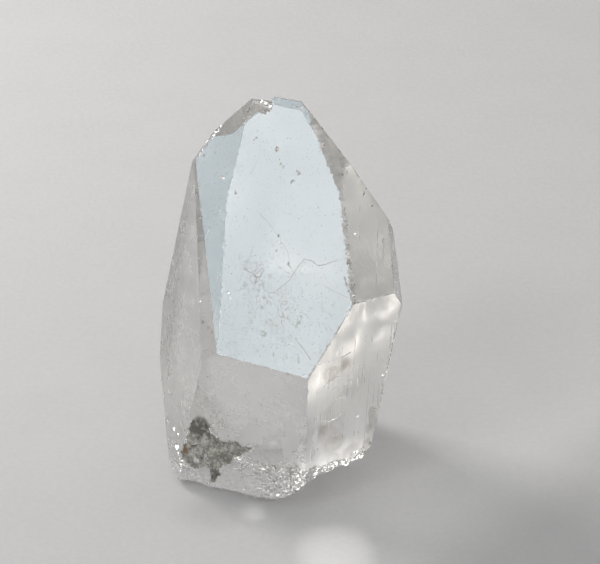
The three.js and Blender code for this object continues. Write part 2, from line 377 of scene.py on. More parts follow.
brokenEdges = [  # two facets, axis and stretch along it, chips, half length, half width, bite, roll
    ("frontPoint", "rightPoint", "z", 37.9, 53.2, 110, (0.1, 0.45), (0.25, 0.8), (0.05, 0.42), 0.3),
    ("frontPoint", "brow", "z", 52.5, 62.5, 90, (0.15, 0.5), (0.4, 1.1), (0.05, 0.34), 0.2),
    ("brow", "rightPoint", "z", 53, 56.3, 20, (0.15, 0.5), (0.3, 0.8), (0.03, 0.15), 0.3),
    ("brow", "backRightPoint", "x", 5.2, 11.2, 40, (0.15, 0.5), (0.2, 0.5), (0.04, 0.3), 0.35),
    ("frontPoint", "backRightPoint", "z", 62.5, 64, 10, (0.15, 0.5), (0.2, 0.5), (0.04, 0.3), 0.35),
    ("frontPoint", "backPoint", "x", -6, 3.3, 40, (0.12, 0.5), (0.2, 0.5), (0.04, 0.35), 0.35),
    ("frontPoint", "backLeftSide", "z", 60.8, 64, 20, (0.1, 0.4), (0.1, 0.4), (0.04, 0.3), 0.35),
    ("frontPoint", "crownBevel", "z", 53.7, 60.8, 44, (0.1, 0.35), (0.1, 0.3), (0.01, 0.1), 0.3),
    ("crownBevel", "backLeftSide", "z", 52.9, 60.8, 40, (0.1, 0.4), (0.1, 0.3), (0.02, 0.16), 0.3),
    ("frontPoint", "leftPoint", "z", 30, 53.7, 50, (0.1, 0.4), (0.1, 0.25), (0.005, 0.03), 0.1),
    ("leftPoint", "leftPrism", "z", 27, 53, 40, (0.1, 0.6), (0.1, 0.3), (0.003, 0.03), 0.15),
    ("frontPoint", "rightPrism", "z", 26.8, 37.9, 50, (0.1, 0.4), (0.1, 0.4), (0.02, 0.17), 0.3),
    ("frontPoint", "frontPrism", "x", -10.5, 4.5, 50, (0.1, 0.4), (0.1, 0.35), (0.01, 0.09), 0.3),
    ("rightPoint", "rightPrism", "x", 12.1, 19, 30, (0.1, 0.4), (0.1, 0.3), (0.01, 0.08), 0.3),
    ("rightPoint", "backRightPoint", "z", 46.9, 56.3, 40, (0.1, 0.5), (0.1, 0.4), (0.01, 0.14), 0.3),
    ("rightPoint", "shoulder", "z", 37.2, 46.9, 30, (0.1, 0.6), (0.1, 0.3), (0.01, 0.07), 0.3),
    ("rightPrism", "rightUndercut", "z", 6, 34.2, 110, (0.15, 0.6), (0.2, 0.7), (0.04, 0.3), 0.35),
    ("frontPrism", "rightPrism", "z", 8, 26.8, 50, (0.1, 0.5), (0.1, 0.4), (0.01, 0.08), 0.3),
    ("leftPrism", "frontPrism", "z", 3, 25.6, 30, (0.1, 0.5), (0.1, 0.3), (0.005, 0.05), 0.3),
    ("backLeftSide", "leftPrism", "z", 24.5, 52.9, 34, (0.2, 0.7), (0.1, 0.3), (0.005, 0.05), 0.3),
    ("backLeftFlank", "leftPrism", "z", 15.3, 24.5, 14, (0.2, 0.6), (0.1, 0.3), (0.005, 0.06), 0.3),
    ("backLeftFoot", "leftPrism", "z", 3, 15.3, 24, (0.2, 0.6), (0.1, 0.5), (0.02, 0.16), 0.3),
    ("backPrism", "backLeftSide", "z", 40.5, 61.5, 26, (0.2, 0.7), (0.1, 0.4), (0.01, 0.12), 0.3),
    ("backPrism", "backLeftEdge", "z", 8.3, 40.5, 36, (0.2, 0.7), (0.1, 0.4), (0.01, 0.12), 0.3),
    ("backLeftSide", "backLeftEdge", "z", 21.9, 40.5, 22, (0.2, 0.6), (0.1, 0.3), (0.005, 0.05), 0.3),
    ("backLeftFlank", "backLeftEdge", "z", 9.6, 21.9, 16, (0.2, 0.6), (0.1, 0.3), (0.005, 0.07), 0.3),
    ("backPrism", "rightUndercut", "z", 4, 34.8, 50, (0.2, 0.7), (0.1, 0.5), (0.02, 0.2), 0.3),
    ("backPrism", "backRightPoint", "z", 36.9, 60.5, 40, (0.2, 0.6), (0.1, 0.4), (0.01, 0.1), 0.3),
]


def makeBlock(name, seed, jitter):  # an angular splinter, the pattern for chips and flats
    deselectAll()
    bpy.ops.mesh.primitive_cube_add(size=2)
    block = named(name)
    rng = random.Random(seed)
    moveVertices(block, lambda co: co * rng.uniform(1 - jitter, 1 + jitter))
    return block


def edgeCutters():
    pattern = makeBlock("edge_splinter", 3, 0.12)
    rng = random.Random(4127)
    places = []
    for first, second, axis, start, end, count, lengths, widths, bites, roll in brokenEdges:
        outward = (normalOf(facets[first]) + normalOf(facets[second])).normalized()
        along = normalOf(facets[first]).cross(normalOf(facets[second])).normalized()
        stand = Matrix((along, outward.cross(along), outward)).transposed().to_4x4()
        for index in range(count):
            spot = edgePoint(first, second, axis, start + (end - start) * (index + rng.random()) / count)
            bite = bites[0] + (bites[1] - bites[0]) * rng.random() ** 2
            width = rng.uniform(*widths)
            turn = Matrix.Rotation(rng.uniform(-0.3, 0.3), 4, "Z")
            turn = turn @ Matrix.Rotation(rng.uniform(-roll, roll), 4, "X")
            turn = turn @ Matrix.Rotation(rng.gauss(0, 0.1), 4, "Y")
            size = Matrix.Diagonal((rng.uniform(*lengths) * mm, width * mm, width * mm, 1))
            place = Matrix.Translation(spot + outward * (width - bite) * mm)
            places.append(place @ stand @ turn @ size)
    return strew(pattern, "edge", places)


chipRuns = [  # facet, from, to, count, smallest and largest radius, how far chips stray from the line
    ("frontPrism", (-12.5, 2.5), (3, 2.5), 34, 0.08, 0.35, 0.7),
    ("rightPrism", (3.5, 6), (15, 9), 60, 0.12, 0.6, 0.9),
    ("rightPrism", (16.4, 16), (14.9, 8), 46, 0.12, 0.55, 0.5),
    ("leftPrism", (-19.5, 6), (-15.5, 1), 14, 0.12, 0.45, 0.3),
]

notchMarks = [  # left-right place, height, radius
    (-2.7, 62.9, 1.7), (-3.0, 63.3, 1.6), (-2.2, 64.2, 1.2), (-4.0, 64.0, 1.3), (-2.2, 62.3, 0.7),
    (-3.4, 62.0, 0.7), (-4.6, 63.6, 0.8),
]


def chipAt(centre, radius, rng):
    turn = Matrix.Rotation(rng.uniform(0, 6.3), 4, "Z") @ Matrix.Rotation(rng.uniform(0, 6.3), 4, "X")
    wide = radius * mm * rng.uniform(0.5, 1.1)
    size = Matrix.Diagonal((wide, radius * mm, radius * mm * rng.uniform(0.6, 1.6), 1))
    return Matrix.Translation(centre) @ turn @ size


def chipCutters():
    pattern = makeBlock("chip", 77, 0.25)
    rng = random.Random(412)
    places = []
    for facetName, start, end, count, smallest, largest, stray in chipRuns:
        for index in range(count):
            share = (index + rng.random()) / count
            x = start[0] + (end[0] - start[0]) * share + stray * rng.gauss(0, 0.6)
            z = start[1] + (end[1] - start[1]) * share + stray * rng.gauss(0, 0.6)
            radius = 0.75 * (smallest + (largest - smallest) * rng.random() ** 3)
            places.append(chipAt(onFacet(facets[facetName], x, z), radius, rng))
    for x, z, radius in notchMarks:
        places.append(chipAt(onFacet(facets["frontPoint"], x, z), 0.8 * radius, rng))
    return strew(pattern, "chip", places)


pitMarks = {
    "places": [  # left-right place, height, size on the point's big face
        (-0.51, 56.94, 0.44), (-0.03, 54.87, 0.36), (0.35, 54.6, 0.24), (2.85, 54.21, 0.42),
        (1.76, 52.8, 0.36), (2.2, 53.0, 0.22), (-7.6, 49.83, 0.3), (-4.13, 57.89, 0.25),
        (-0.37, 45.17, 0.34), (-0.1, 44.2, 0.26), (6.3, 49.99, 0.14), (1.2, 41.63, 0.32),
        (1.5, 41.2, 0.2), (-4.53, 57.56, 0.18), (10.9, 40.4, 0.3), (11.3, 39.5, 0.32),
        (10.6, 41.1, 0.2), (-3.0, 57.6, 0.16), (1.3, 40.4, 0.16), (-0.7, 43.1, 0.2),
    ],
    "pecks": 320,
    "peckReach": (-13, 12, 26, 61),  # left, right, low, high
}


def pitCutters():  # three-sided growth pits, each a cluster of shallow corners
    deselectAll()
    bpy.ops.mesh.primitive_cone_add(vertices=3, radius1=0, radius2=1, depth=1, location=(0, 0, -0.4))
    pattern = named("pit")
    settle(pattern)
    rng = random.Random(19)
    facet = facets["frontPoint"]
    left, right, low, high = pitMarks["peckReach"]
    spots = [(x + rng.gauss(0, 0.35 * size), z + rng.gauss(0, 0.35 * size), size * rng.uniform(0.7, 1.25))
             for x, z, size in pitMarks["places"] for _ in range(3)]
    for _ in range(pitMarks["pecks"]):
        z = low + (high - low) * rng.random() ** 1.5
        spots.append((rng.uniform(left, right), z, 0.03 + 0.05 * rng.random() ** 4))
    places = []
    for x, z, wide in spots:
        shape = Matrix.Diagonal((wide * mm, wide * mm, 0.55 * wide * mm, 1))
        stand = standOn(onFacet(facet, x, z), normalOf(facet), 0.5 + rng.uniform(-0.3, 0.3))
        places.append(stand @ shape)
    return strew(pattern, "pit", places)


hairLines = [  # facet, half width, wander, points
    ("frontPoint", 0.06, 0.06, [(-2.4, 37.33), (-1.19, 37.4), (-0.01, 38.36), (1.42, 39.52), (2.37, 40.81),
                                 (3.91, 42.76), (5.09, 42.65)]),
    ("frontPoint", 0.05, 0.06, [(5.09, 42.65), (6.17, 42.14), (7.83, 42.67), (9.71, 43.43)]),
    ("frontPoint", 0.03, 0.05, [(-3.61, 47.8), (-1.93, 46.51), (-1.09, 45.67), (-0.25, 45.03), (0.1, 44.3),
                                 (1.18, 43.22), (1.42, 42.01), (1.65, 41.08)]),
    ("frontPoint", 0.08, 0.02, [(-4.81, 42.62), (-5.27, 41.21), (-5.15, 40.07)]),
    ("frontPoint", 0.045, 0.06, [(2.37, 31.94), (3.8, 30.75), (4.97, 29.42)]),
    ("frontPoint", 0.04, 0.03, [(-3.8, 35.13), (-4.21, 34.53), (-4.29, 33.71)]),
    ("frontPoint", 0.04, 0.03, [(0.04, 35.84), (0.21, 35.07), (0.63, 34.6)]),
    ("frontPoint", 0.06, 0.06, [(10.65, 41.09), (10.87, 40.18), (11.46, 39.31)]),
    ("frontPoint", 0.018, 0.03, [(-3.52, 57.78), (-3.43, 56.63), (-3.63, 55.43), (-4.52, 53.75),
                                 (-5.8, 52.02), (-6.99, 51.09)]),
    ("frontPoint", 0.035, 0.03, [(-13.51, 46.45), (-12.45, 47.05), (-11.33, 47.74)]),
    ("frontPoint", 0.03, 0.03, [(7.0, 39.7), (9.2, 39.0), (11.6, 38.6)]),
    ("frontPrism", 0.05, 0.08, [(-0.28, 26.22), (0.71, 25.33), (1.38, 24.54), (2.04, 23.38), (2.54, 21.98)]),
    ("rightPrism", 0.09, 0.05, [(6.17, 28.81), (8.17, 28.71), (10.17, 28.62), (11.68, 28.94)]),
    ("rightPrism", 0.05, 0.08, [(6.2, 23.0), (7.5, 24.6), (9.3, 25.2), (11.0, 24.4), (11.9, 22.6)]),
    ("rightPrism", 0.045, 0.08, [(7.6, 21.5), (8.8, 23.2), (10.4, 23.4), (11.4, 21.8)]),
    ("rightPrism", 0.045, 0.08, [(8.2, 19.6), (9.4, 21.0), (10.8, 20.6), (11.2, 19.0)]),
    ("rightPrism", 0.04, 0.08, [(6.8, 18.0), (8.0, 17.0), (9.8, 17.2), (11.2, 18.3)]),
    ("rightPrism", 0.05, 0.08, [(12.6, 24.0), (13.2, 21.5), (12.8, 19.0), (13.5, 16.5)]),
    ("leftPrism", 0.04, 0.05, [(-18.81, 21.8), (-18.9, 19.0)]),
    ("leftPrism", 0.04, 0.05, [(-18.04, 23.0), (-18.0, 20.5)]),
    ("rightPoint", 0.05, 0.03, [(16.2, 47.2), (16.1, 43.0), (15.9, 39.2)]),
    ("rightPoint", 0.04, 0.03, [(17.2, 44.6), (17.1, 41.0)]),
    ("rightPoint", 0.03, 0.03, [(13.2, 50.0), (13.0, 45.5)]),
]

hairStrew = [  # facet, left, right, low, high, count, half length, half width
    ("frontPoint", -11, 9, 27.5, 37, 110, 0.4, 0.026),
    ("frontPoint", -7, 4, 34, 42, 60, 0.4, 0.03),
    ("frontPrism", -12, 4, 12, 27, 40, 0.5, 0.03),
    ("leftPrism", -20, -16, 8, 36, 36, 0.7, 0.03),
]


def linePlaces(facetName, width, wander, points, rng):
    facet = facets[facetName]
    normal = normalOf(facet)
    places = []
    for start, end in zip(points, points[1:]):
        pieces = max(1, round(math.dist(start, end) / 0.7))
        stops = [tuple(a + (b - a) * k / pieces for a, b in zip(start, end)) for k in range(pieces + 1)]
        stops[1:-1] = [(x + rng.gauss(0, wander), z + rng.gauss(0, wander)) for x, z in stops[1:-1]]
        for low, high in zip(stops, stops[1:]):
            first, last = onFacet(facet, *low), onFacet(facet, *high)
            along = (last - first).normalized()
            stand = Matrix((along.cross(normal), along, normal)).transposed().to_4x4()
            wide = width * rng.uniform(0.7, 1.4) * mm
            shape = Matrix.Diagonal((wide, (last - first).length + wide, 0.7 * wide, 1))
            places.append(Matrix.Translation((first + last) / 2) @ stand @ shape)
    return places


def hairCutters():  # hairline cracks and short curling scratches
    deselectAll()
    bpy.ops.mesh.primitive_cylinder_add(vertices=4, radius=1, depth=1, rotation=(math.pi / 2, 0, 0))
    pattern = named("hairline")
    settle(pattern)
    rng = random.Random(31)
    places = []
    for facetName, width, wander, points in hairLines:
        places += linePlaces(facetName, width, wander, points, rng)
    for facetName, left, right, low, high, count, length, width in hairStrew:
        for _ in range(count):
            turn, curl = rng.uniform(0, 6.3), rng.uniform(-1.2, 1.2)
            spot = (rng.uniform(left, right), rng.uniform(low, high))
            points = [spot]
            for _ in range(3):
                spot = (spot[0] + length * rng.uniform(0.4, 1) * math.cos(turn),
                        spot[1] + length * rng.uniform(0.4, 1) * math.sin(turn))
                points.append(spot)
                turn += curl
            places += linePlaces(facetName, width, 0, points, rng)
    return strew(pattern, "hair", places)


sparkMarks = {  # small flats that turn to the bright side: bearing and tilt of their face
    "face": (-60.9, 53.2),
    "spread": 5,
    "places": [  # facet, left-right place, height, half length, half width, bite
        ("frontPoint", -12.9, 54.2, 0.28, 0.16, 0.06), ("frontPoint", -9.75, 51.6, 0.42, 0.2, 0.08),
        ("frontPoint", -10.3, 38.0, 0.34, 0.22, 0.07), ("frontPoint", -8.8, 36.3, 0.3, 0.18, 0.06),
        ("frontPoint", -8.3, 35.6, 0.2, 0.16, 0.06), ("frontPoint", -7.7, 31.9, 0.5, 0.05, 0.03),
        ("frontPoint", -12.2, 43.4, 0.12, 0.1, 0.03), ("frontPoint", -3.4, 62.2, 0.3, 0.14, 0.06),
        ("frontPoint", -2.2, 62.9, 0.14, 0.1, 0.05), ("leftPrism", -18.0, 6.6, 0.6, 0.5, 0.2),
        ("leftPrism", -18.4, 8.6, 0.5, 0.35, 0.15), ("leftPrism", -16.9, 4.6, 0.6, 0.5, 0.2),
        ("leftPrism", -17.6, 9.0, 0.4, 0.2, 0.1), ("rightPoint", 13.9, 51.2, 0.7, 0.18, 0.12),
        ("rightPoint", 15.3, 49.3, 0.6, 0.18, 0.12), ("rightPoint", 12.6, 46.4, 0.7, 0.2, 0.13),
        ("rightPoint", 17.1, 44.3, 0.7, 0.18, 0.12), ("rightPoint", 12.2, 38.9, 0.5, 0.2, 0.1),
        ("rightPrism", 13.0, 15.8, 0.2, 0.16, 0.08), ("rightPrism", 17.2, 22.0, 0.25, 0.16, 0.08),
        ("leftPoint", -13.6, 34.0, 0.2, 0.2, 0.06),
    ],
    "runs": [  # facet, from, to, count, smallest and largest size
        ("frontPoint", (-13.9, 55.3), (-8.4, 61.3), 26, 0.06, 0.2),
        ("frontPoint", (2.0, 63.2), (4.6, 62.9), 5, 0.06, 0.2),
        ("frontPoint", (5.2, 61.4), (9.6, 52.5), 14, 0.06, 0.16),
        ("frontPoint", (10.2, 50), (11.9, 39), 8, 0.05, 0.12),
    ],
    "brightRuns": [  # across and up in the view: from, to, count, smallest and largest size, slimness
        ((-17.3, 21.0), (-11.6, 28.8), 44, 0.1, 0.24, 0.5),
        ((-7.0, 31.2), (-4.8, 29.4), 6, 0.2, 0.4, 0.7),
        ((-21.5, -27.3), (-19.3, -33.0), 9, 0.15, 0.36, 0.7),
        ((-9.7, -29.9), (-6.5, -30.6), 8, 0.25, 0.6, 0.22),
        ((-6.5, -30.6), (-4.1, -31.6), 7, 0.25, 0.6, 0.22),
        ((-8.5, -31.2), (-5.4, -32.6), 8, 0.25, 0.6, 0.2),
        ((-5.4, -32.6), (-2.5, -33.3), 8, 0.25, 0.6, 0.22),
        ((-11.0, -31.9), (-8.5, -34.0), 6, 0.2, 0.5, 0.2),
        ((-8.5, -34.0), (-6.5, -35.3), 6, 0.2, 0.5, 0.2),
    ],
    "raggedRuns": [  # across and up in the view: from, to, chips, stray, smallest and largest radius
        ((-11.5, -29.6), (-6.5, -30.7), 30, 0.45, 0.1, 0.4),
        ((-6.5, -30.9), (0, -32.3), 24, 0.8, 0.3, 0.9),
        ((-5.5, -34.5), (0.5, -33.6), 12, 1.0, 0.25, 0.8),
        ((0, -32.3), (4.2, -31.1), 34, 0.5, 0.12, 0.5),
        ((4.2, -31.1), (9.3, -29.9), 40, 0.4, 0.1, 0.45),
    ],
    "seen": [  # across and up in the view from the camera, half length, half width, bite
        (-21.0, -28.0, 0.9, 0.6, 0.35), (-20.0, -31.9, 0.8, 0.7, 0.35), (-19.0, -30.6, 0.5, 0.3, 0.2),
        (-10.7, -31.5, 0.5, 0.1, 0.1), (-8.8, -31.2, 0.4, 0.12, 0.1), (-7.0, -31.6, 0.5, 0.1, 0.1),
        (-5.2, -31.0, 0.4, 0.1, 0.1), (-3.3, -32.4, 0.3, 0.2, 0.15), (-2.3, -33.2, 0.4, 0.14, 0.12),
        (-1.2, -33.6, 0.3, 0.14, 0.1), (0.2, -32.8, 0.3, 0.12, 0.1), (-8.4, -35.0, 0.18, 0.1, 0.1),
        (-5.0, -36.2, 0.7, 0.12, 0.1), (-3.9, -36.4, 0.4, 0.1, 0.1), (1.2, -34.4, 0.25, 0.14, 0.1),
        (2.4, -33.8, 0.3, 0.14, 0.1), (3.5, -32.9, 0.3, 0.1, 0.1), (4.6, -31.8, 0.25, 0.14, 0.1),
        (6.0, -31.6, 0.3, 0.12, 0.1), (7.4, -30.9, 0.25, 0.12, 0.1), (8.8, -30.2, 0.3, 0.1, 0.1),
        (10.2, -29.8, 0.25, 0.12, 0.1), (1.8, -32.0, 0.2, 0.14, 0.1), (-0.6, -31.4, 0.2, 0.1, 0.1),
    ],
}


def seenPlace(piece, across, rise):  # the place on the piece that the camera sees there
    lift = math.radians(camera["rise"])
    look = Vector((0, math.cos(lift), -math.sin(lift)))
    lifted = Vector((0, math.sin(lift), math.cos(lift)))
    shift = Vector((across, 0, 0)) + rise * lifted
    start = (Vector(camera["target"]) + axisShift) * mm + shift * mm - look * camera["castFrom"]
    found, spot, _, _ = piece.ray_cast(start, look)
    return spot if found else None


def sparkCutters(piece):
    pattern = makeBlock("spark", 9, 0.1)
    rng = random.Random(64)
    bearing, tilt = sparkMarks["face"]
    spread = sparkMarks["spread"]
    spots = [(onFacet(facets[name], x, z), *sizes) for name, x, z, *sizes in sparkMarks["places"]]
    for name, start, end, count, smallest, largest in sparkMarks["runs"]:
        for index in range(count):
            share = (index + rng.random()) / count
            x, z = strayed(start, end, share, 0.05, rng)
            size = rng.uniform(smallest, largest)
            spots.append((onFacet(facets[name], x, z), size, 0.7 * size, 0.3 * size))
    seen = list(sparkMarks["seen"])
    for start, end, count, smallest, largest, slim in sparkMarks["brightRuns"]:
        for index in range(count):
            share = (index + rng.random()) / count
            size = rng.uniform(smallest, largest)
            seen.append((*strayed(start, end, share, 0.08, rng), size, slim * size, 0.5 * slim * size))
    for across, rise, *sizes in seen:
        spot = seenPlace(piece, across, rise)
        if spot:
            spots.append((spot, *sizes))
    places = []
    for spot, length, width, bite in spots:
        face = normalOf((bearing + rng.gauss(0, spread), tilt + rng.gauss(0, spread), 0))
        size = Matrix.Diagonal((length * mm, width * mm, width * mm, 1))
        places.append(standOn(spot + face * (width - bite) * mm, face, rng.uniform(-0.6, 0.6)) @ size)
    return strew(pattern, "spark", places)


def raggedCutters(piece):  # the jagged line along the break, as the camera sees it
    pattern = makeBlock("ragged_chip", 15, 0.3)
    rng = random.Random(2213)
    places = []
    for start, end, count, stray, smallest, largest in sparkMarks["raggedRuns"]:
        for index in range(count):
            share = (index + rng.random()) / count
            spot = seenPlace(piece, *strayed(start, end, share, 0.5 * stray, rng))
            if spot:
                radius = smallest + (largest - smallest) * rng.random() ** 2
                places.append(chipAt(spot, radius, rng))
    return strew(pattern, "ragged", places)


grooveSets = [  # facet, left, right, low, high, count, half width, lean
    ("rightPrism", 5.5, 19.8, 9, 36, 34, 0.04, -0.05),
    ("leftPrism", -21, -16.5, 8, 44, 16, 0.06, 0.02),
    ("frontPrism", -12, 3, 10, 25, 6, 0.03, 0.06),
]


def grooveCutters():  # long shallow grooves between growth steps
    deselectAll()
    bpy.ops.mesh.primitive_cylinder_add(vertices=6, radius=1, depth=1, rotation=(math.pi / 2, 0, 0))
    pattern = named("groove")
    settle(pattern)
    rng = random.Random(8)
    places = []
    for facetName, left, right, low, high, count, width, lean in grooveSets:
        facet = facets[facetName]
        for index in range(count):
            x = left + (index + rng.random()) / count * (right - left)
            length = (high - low) * rng.uniform(0.15, 0.6)
            z = rng.uniform(low + length / 2, high - length / 2)
            shape = Matrix.Diagonal((width * rng.uniform(0.6, 2) * mm, length * mm, 0.5 * width * mm, 1))
            stand = standOn(onFacet(facet, x, z), normalOf(facet), lean + rng.uniform(-0.02, 0.02))
            places.append(stand @ shape)
    return strew(pattern, "groove", places)


rockCrust = {
    "halfThickness": 1.05,
    "cell": 0.14,
    "gap": 0.05,
    "roughness": 0.34,
    "lumps": [  # left-right place, height, half length, half width, sunk, spin, seed
        (-13.8, 13.2, 2.0, 1.7, 0.75, 0.3, 11),
        (-12.9, 10.5, 1.8, 2.1, 0.8, -0.5, 23),
        (-10.4, 8.9, 2.8, 1.6, 0.75, 0.1, 37),
        (-7.2, 9.9, 2.6, 0.9, 0.7, 0.45, 41),
        (-14.4, 7.9, 2.2, 1.4, 0.8, 0.6, 53),
        (-11.4, 6.0, 1.3, 2.5, 0.75, -0.3, 67),
    ],
}


def parkMiller(seed):
    state = seed
    while True:
        state = state * 16807 % (2 ** 31 - 1)
        yield state / (2 ** 31 - 1)


def makeLump(name, grown, detail, mark):
    x, z, halfLength, halfWidth, sunk, spin, seed = mark
    stream = parkMiller(seed)
    waves = [(5 * next(stream) - 2.5, 5 * next(stream) - 2.5, 6 * next(stream)) for _ in range(5)]
    deselectAll()
    bpy.ops.mesh.primitive_ico_sphere_add(subdivisions=detail, radius=1)
    piece = named(name)

    def shape(co):
        bump = sum(math.sin(2 * (a * co.x + b * co.y) + c) for a, b, c in waves)
        out = co * (1 + rockCrust["roughness"] * bump / len(waves))
        return Vector((out.x * (halfLength + grown), out.y * (halfWidth + grown),
                       out.z * (rockCrust["halfThickness"] + grown))) * mm

    moveVertices(piece, shape)
    normal = normalOf(facets["frontPrism"])
    centre = onFacet(facets["frontPrism"], x, z) - normal * sunk * mm
    piece.data.transform(standOn(centre, normal, spin))
    return piece


def makeCrystal():
    piece = makeBlank()
    cutAway(piece, [makeUnderBase()], "underBase")
    cutAway(piece, bowlCutters(), "bowls")
    cutAway(piece, [makeMissingLayer()], "missingLayer")
    hollow = [makeLump(f"hollow_{i}", rockCrust["gap"], 4, mark) for i, mark in enumerate(rockCrust["lumps"])]
    cutAway(piece, hollow, "hollow")
    cutAway(piece, edgeCutters(), "brokenEdges")
    cutAway(piece, chipCutters(), "chips")
    cutAway(piece, pitCutters(), "pits")
    cutAway(piece, grooveCutters(), "grooves")
    cutAway(piece, hairCutters(), "hairlines")
    cutAway(piece, raggedCutters(piece), "raggedBreak")
    cutAway(piece, sparkCutters(piece), "sparks")
    return keepLargest(piece)


faceFinish = {  # roughness, height of the upright streaks, height of the grain, share of marks, dirt and painted shade
    "broken": (0.08, 0.0, 0.15, 0.2, 0.0),
    # the dark break's dirt value is painted shade that darkens part of the broken base in patches
    "darkBreak": (0.3, 0.0, 0.8, 0.0, 0.7),
    "land": (0.3, 0.0, 1.0, 0.3, 0.1),
    "pointNick": (0.4, 0.0, 0.6, 0.0, 0.55),
    "nick": (0.28, 0.0, 0.6, 0.0, 0.08),
    "layerFloor": (0.1, 0.0, 0.05, 0.4, 0.1),
    "wedge": (0.5, 0.5, 1.5, 0.0, 0.75),
    "spark": (0.05, 0.0, 0.0, 0.0, 0.0),
    "frontPoint": (0.03, 0.0, 0.012, 1.0, 0.0),
    "brow": (0.45, 0.3, 1.0, 0.0, 0.48),
    "frontPrism": (0.28, 0.5, 0.5, 0.6, 0.0),
    "rightPrism": (0.5, 3.4, 1.2, 0.4, 0.0),
    # on the left prism and left point faces the dirt value is partly dirt, partly painted shade that darkens
    # these whole faces
    "leftPrism": (0.34, 0.6, 0.1, 0.4, 0.19),
    "leftPoint": (0.3, 0.6, 0.1, 0.5, 0.26),
    "rightPoint": (0.5, 3.0, 0.25, 0.5, 0.06),
    "backPrism": (0.12, 0.8, 0.1, 0.3, 0.0),
    "other": (0.18, 0.6, 0.2, 0.4, 0.0),
    "darkFrom": 0.16,
    "darkBearings": (-105, 40),
    "landTop": 0.9,
    "nickDepth": 0.4,
    "nickLow": 9.0,
    "wedgePlace": (14.6, 8.5, 17.5),
    "sameTurn": 0.9998,  # the cosine of how far a face may turn from its facet
    "samePlane": 0.004,
    "sparkTurn": 0.96,
    "smoothAngle": 28,
}


def finishOf(face, walls, sparkFace):
    depth, nearest = 1, None
    sameTurn = faceFinish["sameTurn"]
    if face.normal.dot(normalOf(missingLayer["floor"])) > sameTurn:
        return "layerFloor"
    for name, normal, distance in walls:
        inset = distance - (face.center - heart).dot(normal)
        if face.normal.dot(normal) > sameTurn and abs(inset) < faceFinish["samePlane"] * mm:
            return name
        if inset < depth:
            depth, nearest = inset, name
    if face.normal.dot(sparkFace) > faceFinish["sparkTurn"]:
        return "spark"
    if face.center.z < faceFinish["landTop"] * mm:
        return "land"
    side, low, high = (value * mm for value in faceFinish["wedgePlace"])
    if face.center.x > side and low < face.center.z < high and face.center.y < 0:
        return "wedge"
    if depth < faceFinish["nickDepth"] * mm and face.center.z > faceFinish["nickLow"] * mm:
        return "pointNick" if nearest in ("frontPoint", "brow") else "nick"
    place = face.center / mm - axisShift
    bearing = math.degrees(math.atan2(place.y, place.x))
    start, end = faceFinish["darkBearings"]
    dark = noise.noise(Vector((place.x * 1.3, place.y * 1.3, place.z * 3))) > faceFinish["darkFrom"]
    return "darkBreak" if dark and start < bearing < end else "broken"


def markFaces(piece):  # each face carries its finish, its dirt and its painted shade, so that one clear material serves them all
    for name, kind in (("finish", "FLOAT_COLOR"), ("dirtAndShade", "FLOAT")):
        piece.data.attributes.new(name, kind, "FACE")
    finish, dirtAndShade = (piece.data.attributes[name] for name in ("finish", "dirtAndShade"))
    walls = [(name, normalOf(facet), facet[2] * mm) for name, facet in facets.items()]
    sparkFace = normalOf((*sparkMarks["face"], 0))
    for face in piece.data.polygons:
        found = finishOf(face, walls, sparkFace)
        values = faceFinish.get(found, faceFinish["other"])
        finish.data[face.index].color = values[:4]
        dirtAndShade.data[face.index].value = values[4]
        face.use_smooth = found in ("land", "broken", "darkBreak")


clearCrystal = makeCrystal()
pick(clearCrystal)
bpy.ops.object.shade_smooth_by_angle(angle=math.radians(faceFinish["smoothAngle"]))
markFaces(clearCrystal)
print("stage: crystal carved,", len(clearCrystal.data.polygons), "faces")


def makeCrust():
    lumps = [makeLump(f"lump_{i}", 0, 5, mark) for i, mark in enumerate(rockCrust["lumps"])]
    deselectAll()
    for lump in lumps:
        lump.select_set(True)
    bpy.context.view_layer.objects.active = lumps[0]
    bpy.ops.object.join()
    piece = named("rough_crust")
    applyModifier(piece, "Remesh", "REMESH", mode="VOXEL", voxel_size=rockCrust["cell"] * mm)
    normals = {vertex.index: vertex.normal.copy() for vertex in piece.data.vertices}
    for vertex in piece.data.vertices:
        spot = vertex.co / mm
        grain = noise.noise(spot * 1.3) * 0.2 + abs(noise.noise(spot * 3.1)) * 0.22
        grain += noise.noise(spot * 7) * 0.09
        vertex.co -= normals[vertex.index] * max(0, grain + 0.03) * mm
    piece.data.update()
    return piece


rockFilm = {  # a thin ragged skin of rock: left-right places and heights on the front face
    "cell": 0.11,
    "ragged": 0.32,
    "sunk": 0.22,
    "outline": [
        (-14.88, 14.26), (-14.02, 14.77), (-13.0, 14.55), (-12.67, 13.66), (-12.34, 12.77),
        (-11.84, 11.92), (-11.16, 11.22), (-10.48, 11.69), (-9.87, 12.8), (-10.31, 11.34),
        (-9.46, 11.17), (-8.78, 11.55), (-7.93, 11.57), (-7.58, 11.96), (-6.74, 11.1),
        (-5.22, 11.11), (-5.73, 10.2), (-7.26, 9.4), (-7.95, 8.83), (-8.3, 7.76), (-9.33, 6.7),
        (-10.19, 6.28), (-10.52, 5.35), (-10.35, 4.61), (-11.4, 2.94), (-12.29, 2.56),
        (-11.76, 3.89), (-11.4, 5.17), (-11.39, 5.96), (-12.25, 6.13), (-13.12, 5.51),
        (-14.16, 4.64), (-15.02, 4.61), (-15.88, 5.17), (-16.9, 6.09), (-17.05, 7.23),
        (-16.51, 8.55), (-15.98, 9.87), (-15.79, 11.09), (-15.42, 12.56),
    ],
    "windows": [(-13.1, 10.75, 0.85), (-13.2, 7.7, 0.62), (-14.6, 9.0, 0.55), (-14.6, 6.3, 0.6)],
    "heaps": [  # place, reach, height
        (-14.22, 12.87, 1.7, 0.42), (-9.83, 8.04, 1.4, 0.34), (-11.0, 4.42, 1.0, 0.3),
        (-15.9, 7.6, 1.0, 0.2),
    ],
}


